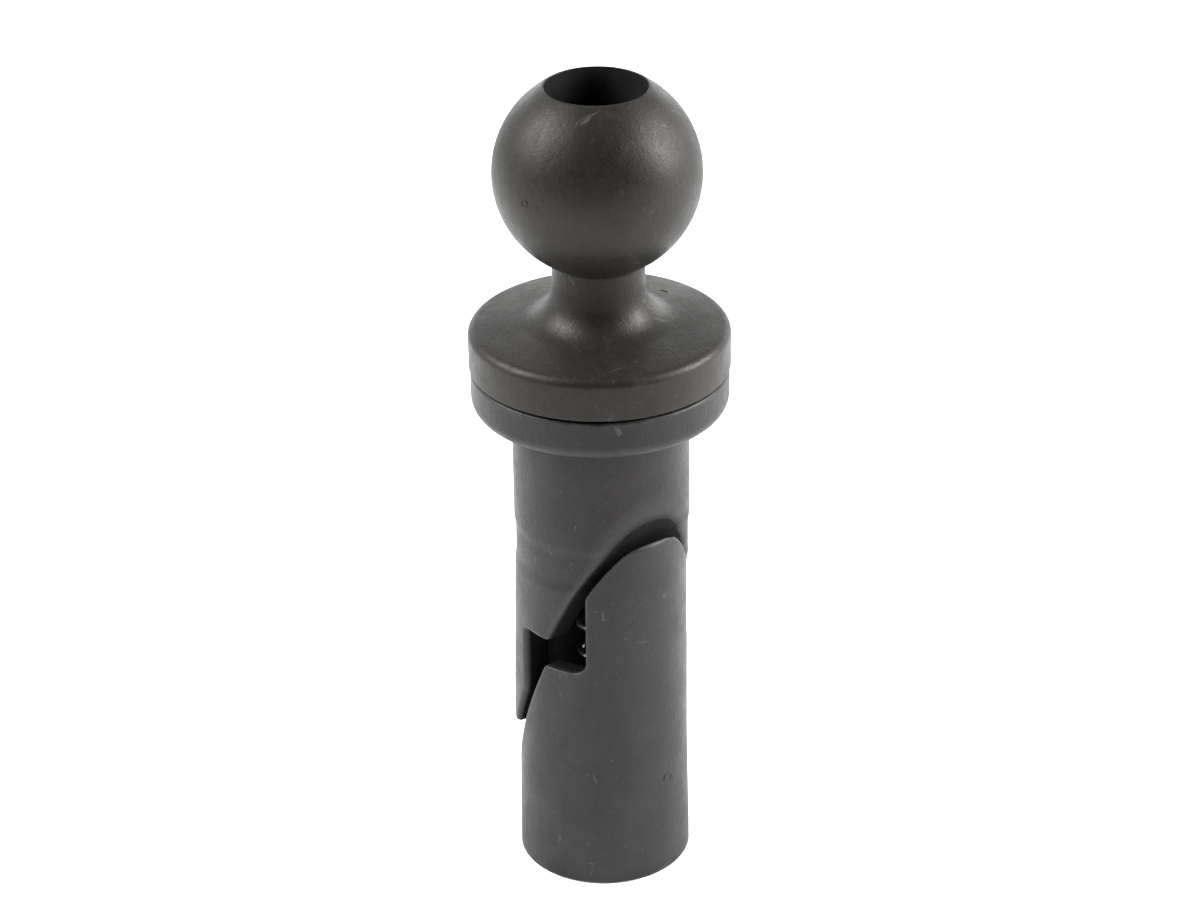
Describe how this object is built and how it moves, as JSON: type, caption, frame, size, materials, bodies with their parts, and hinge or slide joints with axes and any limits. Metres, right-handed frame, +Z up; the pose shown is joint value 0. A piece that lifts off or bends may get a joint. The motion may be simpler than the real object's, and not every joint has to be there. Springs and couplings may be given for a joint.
{
  "type": "ball mount with split wedge post",
  "caption": "Mounting ball on a collared post whose loose oblique wedge is drawn up by a long screw to grip inside a tube.",
  "frame": {"origin": "centre of the wedge's base on the screw's axis, at rest with the screw loosened", "axes": "+Z up along the screw towards the ball, +X the way the wedge spreads, +Y completing the right-handed set"},
  "size_m": [0.0322, 0.0322, 0.1067],
  "materials": {
    "head_composite": "satin black glass-filled composite with a fine moulded grain",
    "stem_composite": "satin black glass-filled composite with a fine moulded grain",
    "wedge_composite": "satin black glass-filled composite with a fine moulded grain",
    "screw_steel": "black-oxide alloy steel",
    "zinc_steel": "bright zinc-plated steel",
    "spring_steel": "bright drawn spring wire",
    "nylon": "natural nylon"
  },
  "bodies": {
    "stem": {"upper_stem": "stem_composite", "return_spring": "spring_steel"},
    "head": {"ball_head": "head_composite", "head_washer": "zinc_steel"},
    "screw": {"clamp_screw": "screw_steel"},
    "nut": {"lock_nut": "zinc_steel", "nut_insert": "nylon", "nut_washer": "zinc_steel", "spring_washer": "zinc_steel"},
    "wedge": {"lower_wedge": "wedge_composite"}
  },
  "joints": [
    {"name": "screw_turn", "type": "hinge", "parent": "stem", "child": "screw", "pos_m": [0, 0, 0.09], "axis": [0, 0, -1], "range_deg": [0, 2160]},
    {"name": "head_swivel", "type": "hinge", "parent": "stem", "child": "head", "pos_m": [0, 0, 0.07], "axis": [0, 0, 1], "continuous": true},
    {"name": "nut_lift", "type": "slide", "parent": "stem", "child": "nut", "axis": [0, 0, 1], "range_m": [0, 0.00635], "deforming": ["return_spring"]},
    {"name": "wedge_draw", "type": "slide", "parent": "stem", "child": "wedge", "axis": [0.2807, 0, 0.9598], "range_m": [0, 0.00662]}
  ],
  "couplings": [
    {"joint": "nut_lift", "follows": "wedge_draw", "ratio": 0.95979},
    {"joint": "screw_turn", "follows": "wedge_draw", "rad_per_m": 5698.2}
  ]
}
